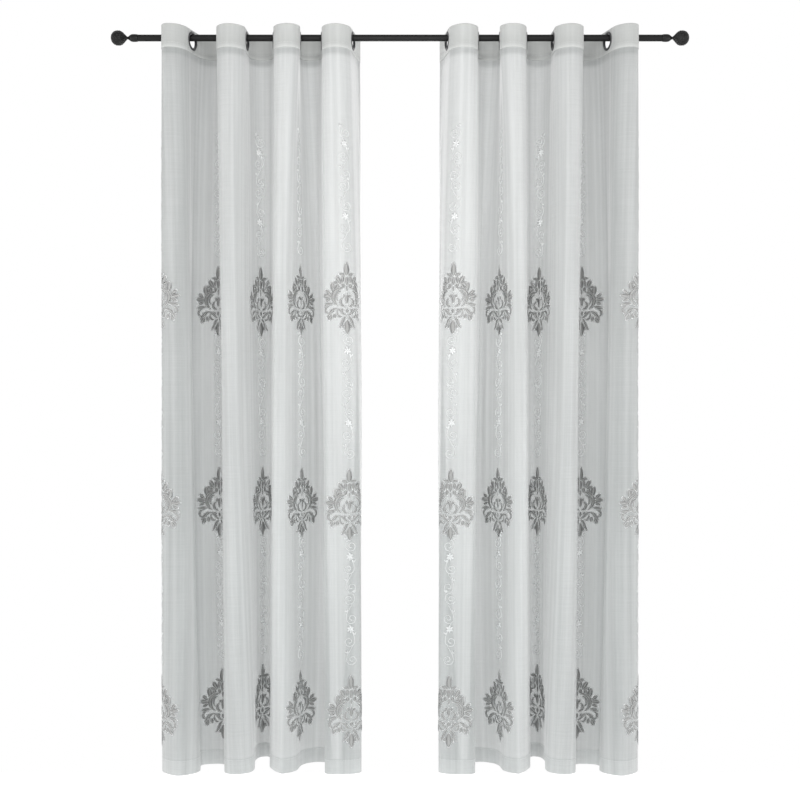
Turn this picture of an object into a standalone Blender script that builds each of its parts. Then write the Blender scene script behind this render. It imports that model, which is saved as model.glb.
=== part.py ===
"""Pair of sheer eyelet curtains hanging on a slim black rod.

Each curtain is one panel below a doubled heading band. Eight rings are pressed through the band,
and the rod runs through them, so the cloth passes from behind the rod to in front of it and back
at each ring. The right curtain is the left one mirrored.

Frame: metres, +Z up, +Y away from the viewer, +X to the viewer's right. The origin is on the rod's
axis at the middle of its length.
"""

import math

import bmesh
import bpy
from mathutils import Vector

# Driving sizes of the rod and its end knobs
ROD_RADIUS = 0.0095
ROD_HALF_LENGTH = 0.757
FIT_GAP = 0.0003

# Driving sizes of the cloth
FLAT_WIDTH = 1.400
EYELET_PITCH = 0.175
END_FLAP = 0.0875
CLOTH_THICKNESS = 0.0020
BAND_THICKNESS = 0.0024
BAND_TOP = 0.022
BAND_BOTTOM = -0.046
HEM_HEIGHT = -2.108

# Driving sizes of an eyelet ring
RING_BORE_RADIUS = 0.0195
RING_BARREL_RADIUS = 0.0226
RING_FLANGE_RADIUS = 0.0270
RING_BORE_HALF_WIDTH = 0.0020
RING_CROWN_RADIUS = 0.0232
RING_CROWN_HALF_WIDTH = 0.0034

# A hole in the band is this much wider than the barrel of its ring, and the punch that cuts it
# reaches this far each way
HOLE_GAP = 0.00045
PUNCH_REACH = 0.0096

# Edges sharper than these angles, in degrees, aren't shaded smooth
TURNED_SHARP_ANGLE = 35.0
CLOTH_SHARP_ANGLE = 50.0

# Steps along a section of cloth, down the drop, and round the turned pieces
STEPS_PER_PITCH = 14
DROP_STEPS = 6
RING_SIDES = 16
ROD_SIDES = 24
KNOB_SIDES = 20
CURVE_STEPS = 60
SOLVER_STEPS = 40
DEEPEST_FOLD = 0.25

# Where each fold crosses the line of the rod, for the left curtain, outer end first.
# x and y are the place of the crossing, and lean is the sideways shift of the cloth for each
# metre further back. The three groups are for the heading, half way down, and the hem.
CROSSINGS = (
    # name, head (x, y, lean), middle (x, y, lean), hem (x, y, lean)
    ("ring_1", (-0.671, 0.000, 0.250), (-0.672, -0.014, 0.214), (-0.681, -0.002, 0.191)),
    ("ring_2", (-0.6005, 0.000, 0.310), (-0.602, 0.001, -0.270), (-0.575, -0.010, -0.209)),
    ("ring_3", (-0.522, 0.000, 0.100), (-0.513, 0.001, -0.128), (-0.5015, -0.008, 0.114)),
    ("ring_4", (-0.443, 0.000, 0.050), (-0.430, 0.009, 0.253), (-0.420, 0.006, -0.141)),
    ("ring_5", (-0.364, 0.000, -0.080), (-0.3705, 0.016, -0.099), (-0.378, 0.022, -0.012)),
    ("ring_6", (-0.290, 0.000, -0.120), (-0.301, 0.003, 0.610), (-0.2925, -0.009, 0.142)),
    ("ring_7", (-0.225, 0.000, -0.060), (-0.219, -0.014, -0.040), (-0.205, -0.0145, 0.386)),
    ("ring_8", (-0.137, 0.000, 0.167), (-0.115, 0.004, 0.084), (-0.1145, -0.004, -0.201)),
)

# Width of cloth that each fold takes up, from one crossing to the next, and how square its
# rounded end is: 2 is half an ellipse, less is more pointed and more is boxier. Front folds
# stand towards the viewer and back folds away. Each column of widths adds up to seven pitches.
FOLDS = (
    # name, side, width (head, middle, hem), squareness (head, middle, hem)
    ("front_1", -1, (EYELET_PITCH, 0.1713, 0.1924), (2.18, 2.58, 1.52)),
    ("back_1", 1, (EYELET_PITCH, 0.1693, 0.1402), (2.07, 2.70, 2.50)),
    ("front_2", -1, (EYELET_PITCH, 0.1944, 0.1692), (1.74, 2.20, 2.04)),
    ("back_2", 1, (EYELET_PITCH, 0.1603, 0.1982), (1.96, 2.20, 2.53)),
    ("front_3", -1, (EYELET_PITCH, 0.1458, 0.1583), (2.00, 2.48, 1.37)),
    ("back_3", 1, (EYELET_PITCH, 0.2090, 0.1820), (2.29, 2.44, 2.05)),
    ("front_4", -1, (EYELET_PITCH, 0.1749, 0.1847), (1.87, 3.06, 3.03)),
)

# How far each end flap has turned by its free edge, in degrees, positive towards +X
FLAP_TURNS = (
    # name, head, middle, hem
    ("outer_flap", 75.0, 60.0, 60.0),
    ("inner_flap", 8.0, -40.0, -95.0),
)

# Half length of the straight stretch of cloth at a crossing, which the rings keep flat
STRAIGHT_HALF = (0.0275, 0.020, 0.012)

# Turned outline of an end knob, from the rod's end outwards
KNOB_OUTLINE = (
    # distance along the axis, radius
    (0.0003, 0.0000),
    (0.0003, 0.0102),
    (0.0030, 0.0114),
    (0.0160, 0.0114),
    (0.0220, 0.0098),
    (0.0262, 0.0062),
    (0.0285, 0.0041),
    (0.0312, 0.0041),
    (0.0330, 0.0070),
    (0.0385, 0.0135),
    (0.0460, 0.0180),
    (0.0545, 0.0208),
    (0.0625, 0.0205),
    (0.0700, 0.0178),
    (0.0755, 0.0120),
    (0.0780, 0.0055),
    (0.0785, 0.0000),
)

# Colours, roughness and metallic value of each material
VOILE_WHITE = ((0.80, 0.82, 0.81, 1.0), 0.85, 0.0)
BAND_WHITE = ((0.84, 0.85, 0.84, 1.0), 0.80, 0.0)
RING_METAL = ((0.05, 0.05, 0.055, 1.0), 0.32, 0.9)
ROD_BLACK = ((0.02, 0.02, 0.02, 1.0), 0.45, 0.0)
KNOB_BLACK = ((0.025, 0.025, 0.025, 1.0), 0.50, 0.0)


def clear_scene():
    for scene_object in list(bpy.data.objects):
        bpy.data.objects.remove(scene_object, do_unlink=True)


def make_material(name, finish):
    color, roughness, metallic = finish
    material = bpy.data.materials.new(name)
    material.use_nodes = True
    shader = material.node_tree.nodes["Principled BSDF"]
    shader.inputs["Base Color"].default_value = color
    shader.inputs["Roughness"].default_value = roughness
    shader.inputs["Metallic"].default_value = metallic
    return material


def make_object(name, mesh, material):
    new_object = bpy.data.objects.new(name, mesh)
    bpy.context.scene.collection.objects.link(new_object)
    if not mesh.materials:
        mesh.materials.append(material)
    return new_object


def make_mesh(name, points, faces):
    mesh = bpy.data.meshes.new(name)
    mesh.from_pydata(points, [], faces)
    builder = bmesh.new()
    builder.from_mesh(mesh)
    bmesh.ops.recalc_face_normals(builder, faces=builder.faces)
    builder.to_mesh(mesh)
    builder.free()
    return mesh


def turned_mesh(name, outline, sides, turn=0.0):
    """Turn an outline of (distance along X, radius) about the X axis into a closed mesh."""
    points = []
    rings = []
    for distance, radius in outline:
        if radius == 0.0:
            rings.append([len(points)])
            points.append((distance, 0.0, 0.0))
            continue
        rings.append([len(points) + side for side in range(sides)])
        for side in range(sides):
            angle = turn + 2.0 * math.pi * side / sides
            points.append((distance, radius * math.cos(angle), radius * math.sin(angle)))
    faces = []
    closed_outline = outline[0] == outline[-1]
    if closed_outline:
        points = points[:-sides]
        rings[-1] = rings[0]
    for ring, next_ring in zip(rings, rings[1:]):
        for side in range(sides):
            after = (side + 1) % sides
            corners = [ring[side % len(ring)], next_ring[side % len(next_ring)],
                       next_ring[after % len(next_ring)], ring[after % len(ring)]]
            faces.append(list(dict.fromkeys(corners)))
    mesh = make_mesh(name, points, faces)
    mesh.shade_smooth()
    mesh.set_sharp_from_angle(angle=math.radians(TURNED_SHARP_ANGLE))
    return mesh


def blend(values, fraction):
    """Smooth curve through the values for the heading, half way down, and the hem."""
    head, middle, hem = values
    head_share = (1.0 - fraction) * (1.0 - 2.0 * fraction)
    middle_share = 4.0 * fraction * (1.0 - fraction)
    hem_share = fraction * (2.0 * fraction - 1.0)
    return head * head_share + middle * middle_share + hem * hem_share


def path_length(points):
    return sum((after - before).length for before, after in zip(points, points[1:]))


def fold_curve(start, start_direction, end, end_direction, depth, squareness):
    """Rounded end of one fold, between its two straight sides."""
    points = []
    for step in range(CURVE_STEPS + 1):
        turn = math.pi * step / CURVE_STEPS
        cosine = math.cos(turn)
        across = 0.5 * (1.0 - math.copysign(abs(cosine) ** (2.0 / squareness), cosine))
        outward = depth * abs(math.sin(turn)) ** (2.0 / squareness)
        points.append(start.lerp(end, across)
                      + outward * start_direction.lerp(end_direction, across))
    return points


def fold_points(first, last, side, cloth_width, straight, squareness):
    """One fold from crossing to crossing, as deep as its width of cloth makes it."""
    first_direction = side * Vector((first[2], 1.0)).normalized()
    last_direction = side * Vector((last[2], 1.0)).normalized()
    first_shoulder = Vector(first[:2]) + straight * first_direction
    last_shoulder = Vector(last[:2]) + straight * last_direction
    low = 0.0
    high = DEEPEST_FOLD
    for _ in range(SOLVER_STEPS):
        depth = 0.5 * (low + high)
        curve = fold_curve(first_shoulder, first_direction, last_shoulder, last_direction,
                           depth, squareness)
        if path_length(curve) + 2.0 * straight < cloth_width:
            low = depth
        else:
            high = depth
    return [Vector(first[:2])] + curve + [Vector(last[:2])]


def flap_points(crossing, turn_degrees, straight):
    """Free end of the cloth behind the rod: straight past the ring, then one even curl."""
    heading = math.atan2(1.0, crossing[2])
    place = Vector(crossing[:2])
    points = [place.copy()]
    place = place + straight * Vector((math.cos(heading), math.sin(heading)))
    points.append(place.copy())
    stride = (END_FLAP - straight) / CURVE_STEPS
    for step in range(CURVE_STEPS):
        angle = heading - math.radians(turn_degrees) * (step + 0.5) / CURVE_STEPS
        place = place + stride * Vector((math.cos(angle), math.sin(angle)))
        points.append(place.copy())
    return points


def section(fraction):
    """Plan of the left curtain at one height, as evenly spaced points from edge to edge.

    The fraction is 0 at the heading and 1 at the hem. Every section is as long as the flat
    cloth is wide, because cloth folds but doesn't stretch.
    """
    straight = blend(STRAIGHT_HALF, fraction)
    crossings = []
    for _, head, middle, hem in CROSSINGS:
        crossings.append([blend(values, fraction) for values in zip(head, middle, hem)])
    outer_turn = blend(FLAP_TURNS[0][1:], fraction)
    inner_turn = blend(FLAP_TURNS[1][1:], fraction)
    dense = flap_points(crossings[0], outer_turn, straight)[::-1]
    for fold, first, last in zip(FOLDS, crossings, crossings[1:]):
        _, side, widths, squareness = fold
        dense += fold_points(first, last, side, blend(widths, fraction), straight,
                             blend(squareness, fraction))[1:]
    dense += flap_points(crossings[-1], inner_turn, straight)[1:]
    return evenly_spaced(dense, round(FLAT_WIDTH / EYELET_PITCH) * STEPS_PER_PITCH)


def evenly_spaced(dense, steps):
    stride = path_length(dense) / steps
    points = [dense[0]]
    walked = 0.0
    for before, after in zip(dense, dense[1:]):
        length = (after - before).length
        while len(points) < steps and walked + length >= stride * len(points):
            share = (stride * len(points) - walked) / length
            points.append(before.lerp(after, share))
        walked += length
    points.append(dense[-1])
    return points


def sheet_mesh(name, rows, thickness, mirror):
    """Closed sheet on rows of (height, plan points), with half its thickness on each side."""
    points = []
    count = len(rows[0][1])
    for height, plan in rows:
        for index, place in enumerate(plan):
            along = plan[min(index + 1, count - 1)] - plan[max(index - 1, 0)]
            across = Vector((along.y, -along.x)).normalized() * 0.5 * thickness
            for face_point in (place + across, place - across):
                points.append((mirror * face_point.x, face_point.y, height))

    def corner(row, index, face):
        return (row * count + index) * 2 + face

    faces = []
    last_row = len(rows) - 1
    for row in range(last_row):
        for index in range(count - 1):
            for face in (0, 1):
                faces.append([corner(row, index, face), corner(row, index + 1, face),
                              corner(row + 1, index + 1, face), corner(row + 1, index, face)])
        for index in (0, count - 1):
            faces.append([corner(row, index, 0), corner(row, index, 1),
                          corner(row + 1, index, 1), corner(row + 1, index, 0)])
    for row in (0, last_row):
        for index in range(count - 1):
            faces.append([corner(row, index, 0), corner(row, index + 1, 0),
                          corner(row, index + 1, 1), corner(row, index, 1)])
    return make_mesh(name, points, faces)


def make_panel(side_name, mirror, material):
    top = BAND_BOTTOM - FIT_GAP
    rows = []
    for step in range(DROP_STEPS + 1):
        fraction = step / DROP_STEPS
        rows.append((top + (HEM_HEIGHT - top) * fraction, section(fraction)))
    mesh = sheet_mesh("panel_" + side_name, rows, CLOTH_THICKNESS, mirror)
    mesh.shade_smooth()
    mesh.set_sharp_from_angle(angle=math.radians(CLOTH_SHARP_ANGLE))
    return make_object("panel_" + side_name, mesh, material)


def ring_places(mirror):
    """Centre and turn of each ring. A ring hangs with the top of its bore on the rod."""
    flat_radius = RING_BORE_RADIUS * math.cos(math.pi / RING_SIDES)
    drop = flat_radius - ROD_RADIUS - FIT_GAP
    places = []
    for _, head, _, _ in CROSSINGS:
        x, y, lean = head
        places.append((Vector((mirror * x, y, -drop)), -mirror * math.atan(lean)))
    return places


def make_band(side_name, mirror, material):
    """Heading band with a hole for each ring."""
    plan = section(0.0)
    rows = [(BAND_TOP, plan), (BAND_BOTTOM, plan)]
    mesh = sheet_mesh("heading_" + side_name, rows, BAND_THICKNESS, mirror)
    mesh.shade_smooth()
    mesh.set_sharp_from_angle(angle=math.radians(CLOTH_SHARP_ANGLE))
    band = make_object("heading_" + side_name, mesh, material)
    hole_radius = RING_BARREL_RADIUS + HOLE_GAP
    punch_outline = (
        (-PUNCH_REACH, 0.0),
        (-PUNCH_REACH, hole_radius),
        (PUNCH_REACH, hole_radius),
        (PUNCH_REACH, 0.0),
    )
    turn = math.pi / RING_SIDES
    for number, (centre, angle) in enumerate(ring_places(mirror), start=1):
        punch_name = "punch_" + side_name + "_" + str(number)
        punch = make_object(punch_name, turned_mesh(punch_name, punch_outline, RING_SIDES, turn),
                            material)
        punch.location = centre
        punch.rotation_euler = (0.0, 0.0, angle)
        punch.hide_render = True
        punch.display_type = "WIRE"
        cut = band.modifiers.new("hole_" + str(number), "BOOLEAN")
        cut.operation = "DIFFERENCE"
        cut.solver = "EXACT"
        cut.object = punch
    return band


def ring_mesh():
    """Ring with a groove round it that grips the edge of the hole in the band."""
    groove = 0.5 * BAND_THICKNESS + FIT_GAP
    outline = (
        (-RING_BORE_HALF_WIDTH, RING_BORE_RADIUS),
        (-RING_CROWN_HALF_WIDTH, RING_CROWN_RADIUS),
        (-groove, RING_FLANGE_RADIUS),
        (-groove, RING_BARREL_RADIUS),
        (groove, RING_BARREL_RADIUS),
        (groove, RING_FLANGE_RADIUS),
        (RING_CROWN_HALF_WIDTH, RING_CROWN_RADIUS),
        (RING_BORE_HALF_WIDTH, RING_BORE_RADIUS),
        (-RING_BORE_HALF_WIDTH, RING_BORE_RADIUS),
    )
    return turned_mesh("eyelet", outline, RING_SIDES, math.pi / RING_SIDES)


def make_rings(side_name, mirror, mesh, material):
    for number, (centre, angle) in enumerate(ring_places(mirror), start=1):
        ring = make_object("eyelet_" + side_name + "_" + str(number), mesh, material)
        ring.location = centre
        ring.rotation_euler = (0.0, 0.0, angle)


def make_rod(material):
    outline = (
        (-ROD_HALF_LENGTH, 0.0),
        (-ROD_HALF_LENGTH, ROD_RADIUS),
        (ROD_HALF_LENGTH, ROD_RADIUS),
        (ROD_HALF_LENGTH, 0.0),
    )
    return make_object("curtain_rod", turned_mesh("curtain_rod", outline, ROD_SIDES), material)


def make_knob(side_name, mirror, material):
    outline = [(mirror * (ROD_HALF_LENGTH + distance), radius) for distance, radius in KNOB_OUTLINE]
    name = "finial_" + side_name
    return make_object(name, turned_mesh(name, outline, KNOB_SIDES), material)


def main():
    clear_scene()
    voile = make_material("voile", VOILE_WHITE)
    band_cloth = make_material("heading_band", BAND_WHITE)
    ring_metal = make_material("ring_metal", RING_METAL)
    rod_black = make_material("rod_black", ROD_BLACK)
    knob_black = make_material("knob_black", KNOB_BLACK)
    shared_ring = ring_mesh()
    make_rod(rod_black)
    for side_name, mirror in (("left", 1.0), ("right", -1.0)):
        make_panel(side_name, mirror, voile)
        make_band(side_name, mirror, band_cloth)
        make_rings(side_name, mirror, shared_ring, ring_metal)
        make_knob(side_name, -mirror, knob_black)


main()
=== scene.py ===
"""Looks of the pair of sheer voile eyelet curtains on a black rod.

The cloth is one thin sheet for each curtain, hung on the same folds as its solid, with its hem
turned up and its heading band folded over double. Embroidery, stitches and rings are modelled on
it.
Metres, in the frame of the solids: the origin is on the rod's axis at the middle of its length.
"""

import math

import bmesh
import bpy
import numpy as np
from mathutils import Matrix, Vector


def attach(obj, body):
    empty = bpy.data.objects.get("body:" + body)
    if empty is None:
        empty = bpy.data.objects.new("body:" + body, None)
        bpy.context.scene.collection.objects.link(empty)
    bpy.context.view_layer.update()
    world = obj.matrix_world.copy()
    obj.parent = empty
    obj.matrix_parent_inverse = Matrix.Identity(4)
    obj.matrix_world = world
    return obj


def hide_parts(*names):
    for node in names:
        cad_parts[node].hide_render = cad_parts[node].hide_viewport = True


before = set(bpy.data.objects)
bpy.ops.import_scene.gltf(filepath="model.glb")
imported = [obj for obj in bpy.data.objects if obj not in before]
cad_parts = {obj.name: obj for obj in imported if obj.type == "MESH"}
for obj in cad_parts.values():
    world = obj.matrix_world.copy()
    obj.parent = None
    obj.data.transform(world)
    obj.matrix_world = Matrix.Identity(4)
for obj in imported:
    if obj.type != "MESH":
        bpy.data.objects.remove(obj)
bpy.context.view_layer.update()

# Sizes shared with the solids
ROD_RADIUS = 0.0095
ROD_HALF_LENGTH = 0.757
FIT_GAP = 0.0003
FLAT_WIDTH = 1.400
EYELET_PITCH = 0.175
END_FLAP = 0.0875
BAND_TOP = 0.022
BAND_BOTTOM = -0.046
HEM_HEIGHT = -2.108
RING_BORE_RADIUS = 0.0195
RING_DROP = 0.0193 - ROD_RADIUS - FIT_GAP

# Thin sheets of the scene: heights where they start and end, rows, columns and layers, and how
# far down the cloth its doubled hem starts
CLOTH_TOP = -0.038
CLOTH_ROWS = 152
CLOTH_COLUMNS = 351
HEM_STARTS = 2.029
HEM_FOLD = 0.002
HEM_TURN_UP = 0.042
HEM_LAYER = -0.0014
SIDE_HEM_EDGE = 0.0012
SIDE_HEM_WIDTH = 0.022
SIDE_HEM_TOP = -0.050
SIDE_HEM_LAYER = -0.0012
BAND_COLUMNS = 441
BAND_ROW_STEP = 0.003
BAND_LAYER = 0.0012
BAND_TURN_IN_TOP = -0.0300
BAND_TURN_IN_END = -0.0452
BAND_HOLE_RADIUS = 0.0238

# Stitches, in millimetres: lines across or down the flat cloth and the size of one stitch
STITCH_PITCH = 3.4
STITCH_HALF_LENGTH = 1.15
STITCH_HALF_WIDTH = 0.28
SEAM_STITCH_HEIGHTS = (-44.0, -31.5)
HEM_STITCH_RISE = 39.0
SIDE_STITCH_INSET = 19.5
SIDE_STITCH_TOP = -52.0

# Camera at the place and angle of the photograph
CAMERA_PLACE = (0.0, -3.3, -1.046)
CAMERA_LENS = 51.39
CAMERA_SENSOR = 36.0

# Soft studio light. Bare backdrop is white, and it is dimmer where it shows through the cloth,
# less so towards the middle of the view.
NEUTRAL_LIGHT = (1.0, 1.0, 0.99)
COOL_LIGHT = (0.50, 1.0, 1.0)
LAMPS = (
    # name, place, target, size, power, colour
    ("key", (0.0, -3.0, 0.25), (0.0, 0.0, -0.6), (2.6, 2.0), 21.0, NEUTRAL_LIGHT),
    ("strip_high", (0.0, -1.0, -0.5), (0.0, 0.0, -0.5), (0.3, 1.2), 3.0, NEUTRAL_LIGHT),
    ("strip_low", (0.0, -1.1, -1.7), (0.0, 0.0, -1.6), (1.2, 0.6), 0.8, COOL_LIGHT),
    ("back", (0.0, 0.8, -0.8), (0.0, 0.0, -0.8), (0.4, 2.0), 6.0, NEUTRAL_LIGHT),
    ("side_left", (-2.6, -1.1, -0.9), (-0.4, 0.0, -0.9), (0.5, 2.0), 10.0, NEUTRAL_LIGHT),
    ("side_right", (2.6, -1.1, -0.9), (0.4, 0.0, -0.9), (0.5, 2.0), 10.0, NEUTRAL_LIGHT),
)
AROUND_STRENGTH = 0.68
VEILED_MIDDLE = 0.90
VEILED_EDGE = 0.48
FLOOR_HEIGHT = -2.16
FLOOR_HALF_WIDTH = 30.0
FLOOR_BACK_EDGE = 0.11

# Folds of the left curtain, outer end first: place and lean where each crosses the rod's line
CROSSINGS = (
    # head (x, y, lean), middle (x, y, lean), hem (x, y, lean)
    ((-0.671, 0.000, 0.250), (-0.672, -0.014, 0.214), (-0.681, -0.002, 0.191)),
    ((-0.6005, 0.000, 0.310), (-0.602, 0.001, -0.270), (-0.575, -0.010, -0.209)),
    ((-0.522, 0.000, 0.100), (-0.513, 0.001, -0.128), (-0.5015, -0.008, 0.114)),
    ((-0.443, 0.000, 0.050), (-0.430, 0.009, 0.253), (-0.420, 0.006, -0.141)),
    ((-0.364, 0.000, -0.080), (-0.3705, 0.016, -0.099), (-0.378, 0.022, -0.012)),
    ((-0.290, 0.000, -0.120), (-0.301, 0.003, 0.610), (-0.2925, -0.009, 0.142)),
    ((-0.225, 0.000, -0.060), (-0.219, -0.014, -0.040), (-0.205, -0.0145, 0.386)),
    ((-0.137, 0.000, 0.167), (-0.115, 0.004, 0.084), (-0.1145, -0.004, -0.201)),
)

# Each fold: side (-1 front, 1 back), width of cloth and squareness of its rounded end
FOLDS = (
    # side, width (head, middle, hem), squareness (head, middle, hem)
    (-1, (EYELET_PITCH, 0.1713, 0.1924), (2.18, 2.58, 1.52)),
    (1, (EYELET_PITCH, 0.1693, 0.1402), (2.07, 2.70, 2.50)),
    (-1, (EYELET_PITCH, 0.1944, 0.1692), (1.74, 2.20, 2.04)),
    (1, (EYELET_PITCH, 0.1603, 0.1982), (1.96, 2.20, 2.53)),
    (-1, (EYELET_PITCH, 0.1458, 0.1583), (2.00, 2.48, 1.37)),
    (1, (EYELET_PITCH, 0.2090, 0.1820), (2.29, 2.44, 2.05)),
    (-1, (EYELET_PITCH, 0.1749, 0.1847), (1.87, 3.06, 3.03)),
)
OUTER_FLAP_TURN = (75.0, 60.0, 60.0)
INNER_FLAP_TURN = (8.0, -40.0, -95.0)
STRAIGHT_HALF = (0.0275, 0.020, 0.012)

# Soft creases in the cloth: where they lie across the flat cloth, how wide and
# high they are (+ towards the viewer), and between which heights they run
CREASES = (
    # across, half width, height, top, bottom
    (0.040, 0.009, 0.0016, -0.10, -2.10),
    (0.128, 0.007, 0.0014, -0.05, -1.60),
    (0.156, 0.006, 0.0014, -0.05, -1.20),
    (0.176, 0.007, 0.0016, -0.05, -2.10),
    (0.206, 0.010, -0.0018, -0.35, -2.10),
    (0.237, 0.006, 0.0018, -0.05, -1.50),
    (0.262, 0.006, 0.0014, -0.60, -2.10),
    (0.336, 0.009, 0.0016, -0.20, -2.10),
    (0.362, 0.010, -0.0016, -0.05, -1.10),
    (0.392, 0.006, 0.0016, -0.70, -2.10),
    (0.458, 0.007, 0.0018, -0.05, -1.70),
    (0.494, 0.007, 0.0016, -0.50, -2.10),
    (0.516, 0.008, -0.0016, -0.05, -2.10),
    (0.541, 0.006, 0.0014, -0.20, -1.30),
    (0.566, 0.007, -0.0012, -0.80, -2.10),
    (0.608, 0.006, 0.0020, -0.05, -2.10),
    (0.664, 0.008, 0.0016, -0.05, -1.90),
    (0.705, 0.008, -0.0014, -0.30, -2.10),
    (0.742, 0.007, 0.0014, -0.05, -1.50),
    (0.838, 0.007, 0.0016, -0.40, -2.10),
    (0.862, 0.008, -0.0018, -0.05, -2.10),
    (0.884, 0.006, 0.0014, -0.05, -1.00),
    (0.908, 0.006, 0.0018, -0.50, -2.10),
    (0.951, 0.005, 0.0022, -0.10, -2.10),
    (1.012, 0.010, 0.0016, -0.30, -2.10),
    (1.046, 0.008, -0.0016, -0.05, -1.40),
    (1.088, 0.007, 0.0014, -0.60, -2.10),
    (1.182, 0.006, 0.0018, -0.05, -2.10),
    (1.198, 0.006, -0.0014, -0.60, -2.10),
    (1.222, 0.008, 0.0016, -0.05, -1.30),
    (1.246, 0.008, -0.0014, -0.05, -2.10),
    (1.270, 0.006, 0.0016, -0.90, -2.10),
    (1.352, 0.008, 0.0016, -0.20, -2.10),
)
CREASE_FADE = 0.12

# Ball of the end knob: distance past the rod's end and radius, one row of diamonds each
BALL_PROFILE = (
    (0.0318, 0.0044), (0.0345, 0.0064), (0.0378, 0.0098), (0.0418, 0.0142),
    (0.0466, 0.0182), (0.0520, 0.0203), (0.0576, 0.0207), (0.0632, 0.0201),
    (0.0682, 0.0181), (0.0724, 0.0147), (0.0756, 0.0102), (0.0776, 0.0056),
)
BALL_START = 0.0316
BALL_END = 0.0785
BALL_FACETS = 14
DIAMOND_RISE = 0.0011

# Layout of the embroidery on the flat cloth
MOTIF_COLUMNS = (0.115, 0.379, 0.687, 0.955, 1.244)
MOTIF_ROWS = (-0.757, -1.345, -1.932)
MOTIF_PITCH = 0.588
MM = 0.001

# White trails of scrolls, in millimetres down from the middle of the motif above: how often a
# trail repeats, where its flowers are, and where the scrolls start and end
TRAIL_REPEAT = 206.0
TRAIL_FLOWERS = (148.0, 354.0)
TRAIL_START = 106.0
TRAIL_END = 468.0
TRAIL_SCROLLS = (
    # drop below the flower, side (-1 left, 1 right)
    (35.0, -1),
    (87.0, 1),
    (121.0, -1),
    (176.0, 1),
)

# Leaves of the motif, in millimetres and degrees from its middle. A leaf runs from its foot at
# x, y along its angle and bends by so much. Belly over 1 puts its fullest part towards the tip.
# Leaves of a higher layer lie over the others. Side leaves and side bands are mirrored.
CENTRE_LEAVES = (
    # x, y, angle, length, width, bend, belly, layer
    (0, 64, 90, 38, 17.0, 0, 0.85, 2),
    (0, 37, 90, 27, 10.5, 0, 1.00, 1),
    (0, 19, 90, 20, 4.5, 0, 0.90, 0),
    (0, -15, 90, 28, 9.5, 0, 0.95, 2),
    (0, -43, 90, 14, 8.5, 0, 1.20, 1),
    (0, -61, -90, 40, 17.5, 0, 0.90, 2),
)
SIDE_LEAVES = (
    # x, y, angle, length, width, bend, belly, layer
    (1, 63, 32, 23, 7.5, -34, 1.10, 1),
    (17, 39, 64, 28, 12.0, -6, 1.25, 1),
    (13, 42, 100, 23, 8.5, -10, 1.25, 0),
    (20, 39, 30, 22, 8.0, -36, 1.15, 0),
    (37, 15, 78, 31, 13.0, 6, 1.25, 1),
    (33, 18, 116, 25, 10.5, -8, 1.25, 0),
    (44, 7, 50, 24, 9.0, -10, 1.25, 0),
    (42, 4, 8, 27, 12.0, 0, 1.25, 2),
    (44, -1, -26, 19, 8.0, 8, 1.20, 1),
    (37, -16, 0, 29, 8.5, -16, 1.15, 1),
    (43, -45, -64, 20, 10.5, 0, 1.25, 2),
    (36, -42, -98, 16, 8.0, 6, 1.20, 0),
    (10, 28, 84, 15, 9.0, 6, 1.10, 0),
    (5, 1, 60, 12, 6.5, 0, 1.10, 0),
    (9, -35, 20, 11, 6.0, 10, 1.10, 0),
    (4, -72, -50, 16, 7.5, -10, 1.10, 1),
)
SIDE_BANDS = (
    # four points of a curve (x, y), width, layer
    ((12, 29), (39, 28), (52, -2), (25, -22), 9.0, 2),
    ((16, 20), (30, 19), (35, 2), (24, -9), 5.0, 1),
    ((44, -20), (66, -22), (66, -44), (49, -44), 5.5, 0),
    ((50, -45), (41, -45), (41, -33), (50, -34), 4.5, 0),
    ((2, -48), (16, -47), (17, -28), (32, -31), 5.5, 1),
    ((29, -30), (46, -31), (46, -47), (57, -53), 7.5, 1),
    ((27, -33), (31, -48), (22, -57), (14, -51), 4.5, 0),
    ((4, -23), (21, -23), (23, -5), (11, 1), 6.0, 1),
    ((3, -52), (14, -57), (13, -72), (24, -84), 6.5, 1),
)
LEAF_STEPS = 9
BAND_STEPS = 14
LEAF_FULLNESS = 0.88
OUTLINE_WIDTH = 1.6
LAYER_RISE = 0.36


def blend(values, fraction):
    """Smooth curve through the values for the heading, half way down, and the hem."""
    head, middle, hem = values
    return (head * (1.0 - fraction) * (1.0 - 2.0 * fraction)
            + middle * 4.0 * fraction * (1.0 - fraction)
            + hem * fraction * (2.0 * fraction - 1.0))


def curve_points(first, second, third, fourth, steps):
    """Cubic curve from the first point to the fourth."""
    t = np.linspace(0.0, 1.0, steps + 1)[:, None]
    u = 1.0 - t
    return (u ** 3 * np.array(first) + 3.0 * u * u * t * np.array(second)
            + 3.0 * u * t * t * np.array(third) + t ** 3 * np.array(fourth))


def path_length(points):
    return float(np.linalg.norm(np.diff(points, axis=0), axis=1).sum())


def fold_points(first, last, side, cloth_width, straight, squareness):
    """One fold from crossing to crossing, as deep as its width of cloth makes it."""
    first_way = side * np.array([first[2], 1.0]) / math.hypot(first[2], 1.0)
    last_way = side * np.array([last[2], 1.0]) / math.hypot(last[2], 1.0)
    start = np.array(first[:2]) + straight * first_way
    end = np.array(last[:2]) + straight * last_way
    turn = np.linspace(0.0, math.pi, 121)
    cosine = np.cos(turn)
    power = 2.0 / squareness
    across = (0.5 * (1.0 - np.copysign(np.abs(cosine) ** power, cosine)))[:, None]
    outward = (np.abs(np.sin(turn)) ** power)[:, None]
    base = start + across * (end - start)
    way = outward * ((1.0 - across) * first_way + across * last_way)
    low, high = 0.0, 0.25
    for _ in range(26):
        depth = 0.5 * (low + high)
        if path_length(base + depth * way) + 2.0 * straight < cloth_width:
            low = depth
        else:
            high = depth
    return np.vstack([[first[:2]], base + depth * way, [last[:2]]])


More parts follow.
